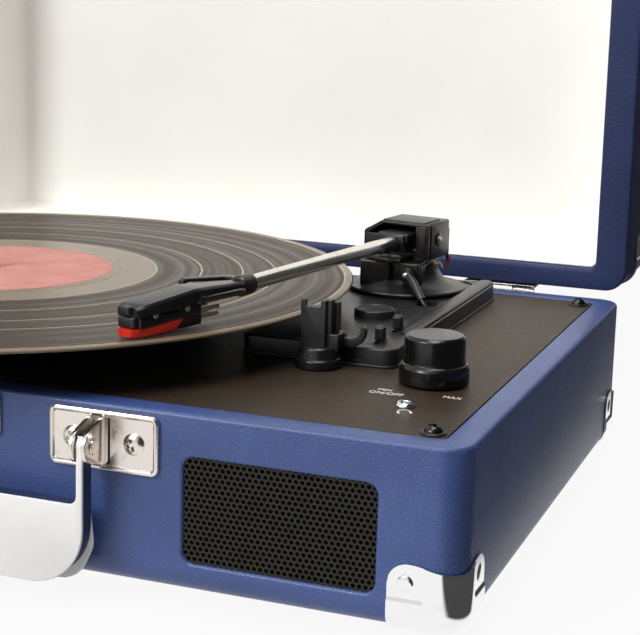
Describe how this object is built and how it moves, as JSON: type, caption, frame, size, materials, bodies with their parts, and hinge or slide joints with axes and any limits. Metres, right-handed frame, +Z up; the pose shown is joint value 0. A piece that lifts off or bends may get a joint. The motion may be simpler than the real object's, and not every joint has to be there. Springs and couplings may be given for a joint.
{
  "type": "suitcase record player",
  "caption": "Open suitcase record player: hinged leatherette case with a disc on its platter, tonearm, knob, speaker grilles, carry handle, latch and metal corner caps.",
  "frame": {"origin": "centre of the bottom panel's outer face", "axes": "+X to the player's right (seen from the front), +Y to its back, +Z up; the lid stands open"},
  "size_m": [0.388, 0.3599, 0.3406],
  "materials": {
    "leatherette": "satin",
    "lining": "matte",
    "fibreboard": "matte",
    "deck_vinyl": "matte",
    "black_plastic": "satin",
    "gloss_black_plastic": "gloss",
    "record_vinyl": "gloss",
    "red_plastic": "satin",
    "rubber": "matte",
    "black_metal": "matte",
    "chrome": "polished",
    "steel": "brushed",
    "circuit_board": "matte"
  },
  "bodies": {
    "base": {"base_shell": "leatherette", "bottom_panel": "fibreboard", "foot_front_left": "rubber", "foot_front_right": "rubber", "foot_back_left": "rubber", "foot_back_right": "rubber", "base_cap_front_left": "chrome", "base_cap_front_right": "chrome", "base_cap_back_left": "chrome", "base_cap_back_right": "chrome", "deck_plate": "deck_vinyl", "spindle_bush": "steel", "motor": "steel", "drive_belt": "rubber", "tonearm_plate": "black_plastic", "arm_pedestal": "black_plastic", "lift_block": "black_plastic", "arm_rest": "black_plastic", "volume_control": "steel", "headphone_jack": "chrome", "speaker_grille_left": "black_metal", "speaker_grille_right": "black_metal", "speaker_left": "steel", "speaker_right": "steel", "amplifier_board": "circuit_board", "jack_panel": "black_plastic", "rca_jacks": "steel", "power_inlet": "black_plastic", "handle_bracket_left": "chrome", "handle_bracket_right": "chrome", "hinge_base_left": "chrome", "hinge_base_right": "chrome", "latch_catch": "chrome"},
    "lid": {"lid_shell": "leatherette", "lid_liner": "lining", "lid_cap_front_left": "chrome", "lid_cap_front_right": "chrome", "lid_cap_back_left": "chrome", "lid_cap_back_right": "chrome", "hinge_lid_left": "chrome", "hinge_lid_right": "chrome", "latch_mount": "chrome"},
    "hasp": {"latch_hasp": "chrome"},
    "carry_handle": {"handle": "leatherette"},
    "turntable": {"platter": "black_plastic", "record": "record_vinyl", "spindle": "steel"},
    "pulley": {"motor_pulley": "steel"},
    "arm_base": {"arm_housing": "black_plastic"},
    "arm": {"arm_clamp": "black_plastic", "arm_tube": "chrome", "headshell": "black_plastic", "cartridge": "black_plastic", "stylus": "red_plastic"},
    "cue": {"cue_lever": "black_plastic"},
    "rail": {"lift_rail": "black_plastic"},
    "clip": {"rest_clip": "black_plastic"},
    "speed": {"speed_lever": "black_plastic"},
    "auto_stop": {"auto_stop_switch": "black_plastic"},
    "knob": {"volume_knob": "gloss_black_plastic"}
  },
  "joints": [
    {"name": "lid_hinge", "type": "hinge", "parent": "base", "child": "lid", "pos_m": [0, 0.135, 0.0586], "axis": [1, 0, 0], "range_deg": [0, 56]},
    {"name": "latch_hinge", "type": "hinge", "parent": "lid", "child": "hasp", "pos_m": [0, 0.1474, 0.3296], "axis": [-1, 0, 0], "range_deg": [0, 100]},
    {"name": "handle_hinge", "type": "hinge", "parent": "base", "child": "carry_handle", "pos_m": [0, -0.1394, 0.0496], "axis": [-1, 0, 0], "range_deg": [0, 110]},
    {"name": "platter_spin", "type": "hinge", "parent": "base", "child": "turntable", "pos_m": [-0.058, -0.0225, 0.07], "axis": [0, 0, -1], "continuous": true},
    {"name": "pulley_spin", "type": "hinge", "parent": "base", "child": "pulley", "pos_m": [-0.09368, 0.0446, 0.07], "axis": [0, 0, -1], "continuous": true},
    {"name": "tonearm_swing", "type": "hinge", "parent": "base", "child": "arm_base", "pos_m": [0.0915, 0.078, 0.091], "axis": [0, 0, -1], "range_deg": [-12, 28]},
    {"name": "tonearm_lift", "type": "hinge", "parent": "arm_base", "child": "arm", "pos_m": [0.0915, 0.078, 0.091], "axis": [-0.9874, 0.1582, 0], "range_deg": [0, 14]},
    {"name": "cue_lever_turn", "type": "hinge", "parent": "base", "child": "cue", "pos_m": [0.0975, 0.0598, 0.0782], "axis": [0, -1, 0], "range_deg": [0, 50]},
    {"name": "lift_rail_slide", "type": "slide", "parent": "base", "child": "rail", "axis": [0, 0, 1], "range_m": [0, 0.003]},
    {"name": "rest_clip_turn", "type": "hinge", "parent": "base", "child": "clip", "pos_m": [0.1043, -0.0437, 0.0728], "axis": [0, -1, 0], "range_deg": [0, 60]},
    {"name": "speed_lever_slide", "type": "slide", "parent": "base", "child": "speed", "axis": [0, 1, 0], "range_m": [-0.004, 0.004]},
    {"name": "auto_stop_slide", "type": "slide", "parent": "base", "child": "auto_stop", "axis": [0, 1, 0], "range_m": [-0.004, 0.004]},
    {"name": "volume_turn", "type": "hinge", "parent": "base", "child": "knob", "pos_m": [0.1436, -0.0524, 0.07], "axis": [0, 0, -1], "range_deg": [0, 280]}
  ],
  "couplings": [
    {"joint": "pulley_spin", "follows": "platter_spin", "ratio": 10.298},
    {"joint": "cue_lever_turn", "follows": "lift_rail_slide", "rad_per_m": 290.89}
  ]
}
